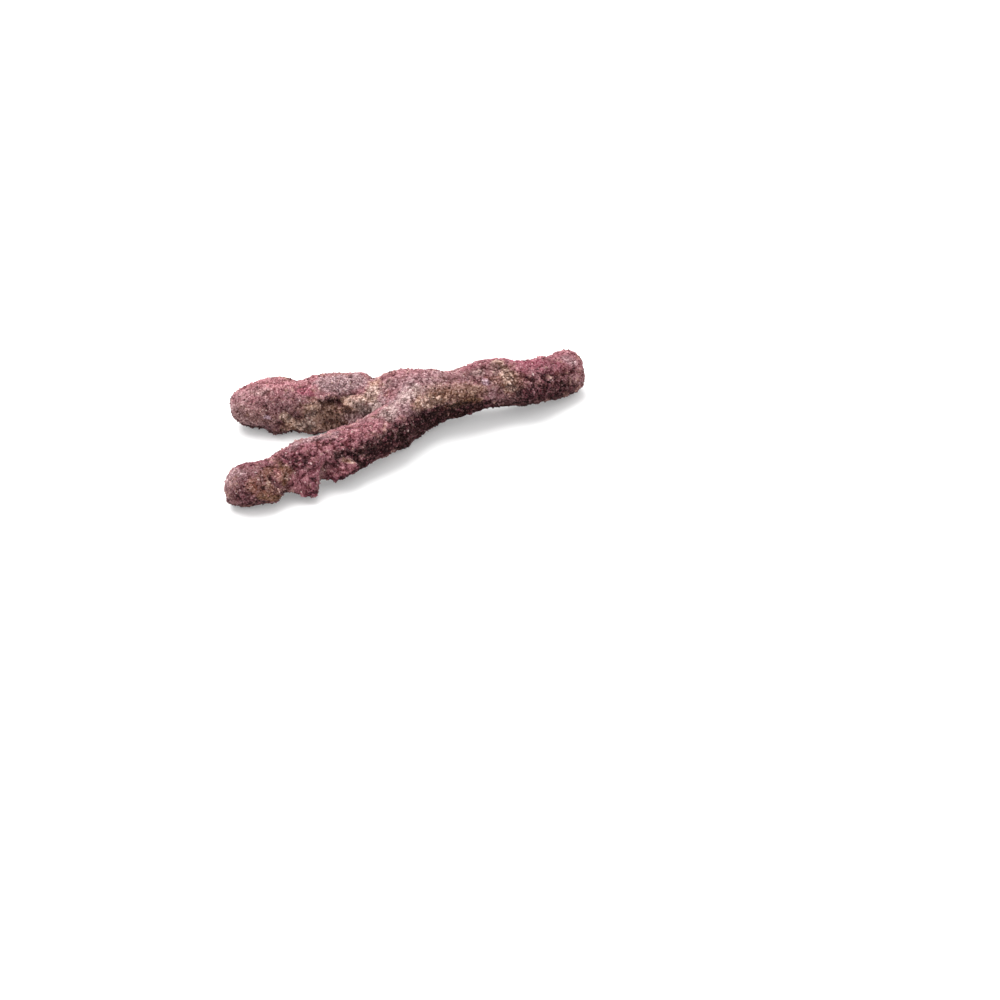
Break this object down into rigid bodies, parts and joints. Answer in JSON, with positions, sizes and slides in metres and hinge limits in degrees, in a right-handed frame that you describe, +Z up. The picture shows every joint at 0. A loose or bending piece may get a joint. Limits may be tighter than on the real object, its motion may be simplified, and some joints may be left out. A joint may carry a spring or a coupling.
{
  "type": "dry reef rock branch",
  "caption": "Forked branch of dry reef rock for an aquarium, crusted pink, that lies on the ends of its stem and prongs.",
  "frame": {"origin": "under the middle of the rock, on the surface that it lies on", "axes": "+X along the rock from the prongs' tips to the stem's end, +Y towards the rear prong's side, +Z up"},
  "size_m": [0.2976, 0.204, 0.0523],
  "materials": {
    "stem": "matt crusted",
    "rear_prong": "matt crusted",
    "front_prong": "matt crusted"
  },
  "bodies": {
    "root": {"stem": "stem", "rear_prong": "rear_prong", "front_prong": "front_prong"}
  },
  "joints": []
}
